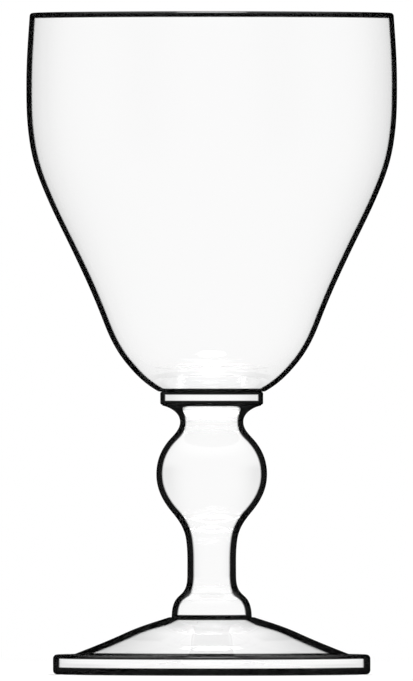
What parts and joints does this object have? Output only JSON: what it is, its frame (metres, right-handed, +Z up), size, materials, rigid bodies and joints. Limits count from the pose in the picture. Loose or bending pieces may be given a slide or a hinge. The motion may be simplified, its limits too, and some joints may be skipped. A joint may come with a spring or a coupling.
{
  "type": "water goblet",
  "caption": "Stemmed drinking glass: deep flared bowl on a flat collar disc, a stem with a ball knop, and a domed foot on a round plate, in clear glass.",
  "frame": {"origin": "centre of the foot, on the surface that the goblet stands on", "axes": "+Z up the axis of the glass, from the foot to the rim; the glass is round, so +X and +Y are any two sides"},
  "size_m": [0.0896, 0.0896, 0.16],
  "materials": {
    "blown_glass": "clear, fire-polished, very slightly uneven as blown",
    "solid_glass": "clear, fire-polished",
    "foot_glass": "clear, fire-polished, with a polished ground spot and a lightly worn standing ring underneath"
  },
  "bodies": {
    "root": {"bowl": "blown_glass", "collar_disc": "solid_glass", "stem": "solid_glass", "foot_dome": "solid_glass", "foot_disc": "foot_glass"}
  },
  "joints": []
}
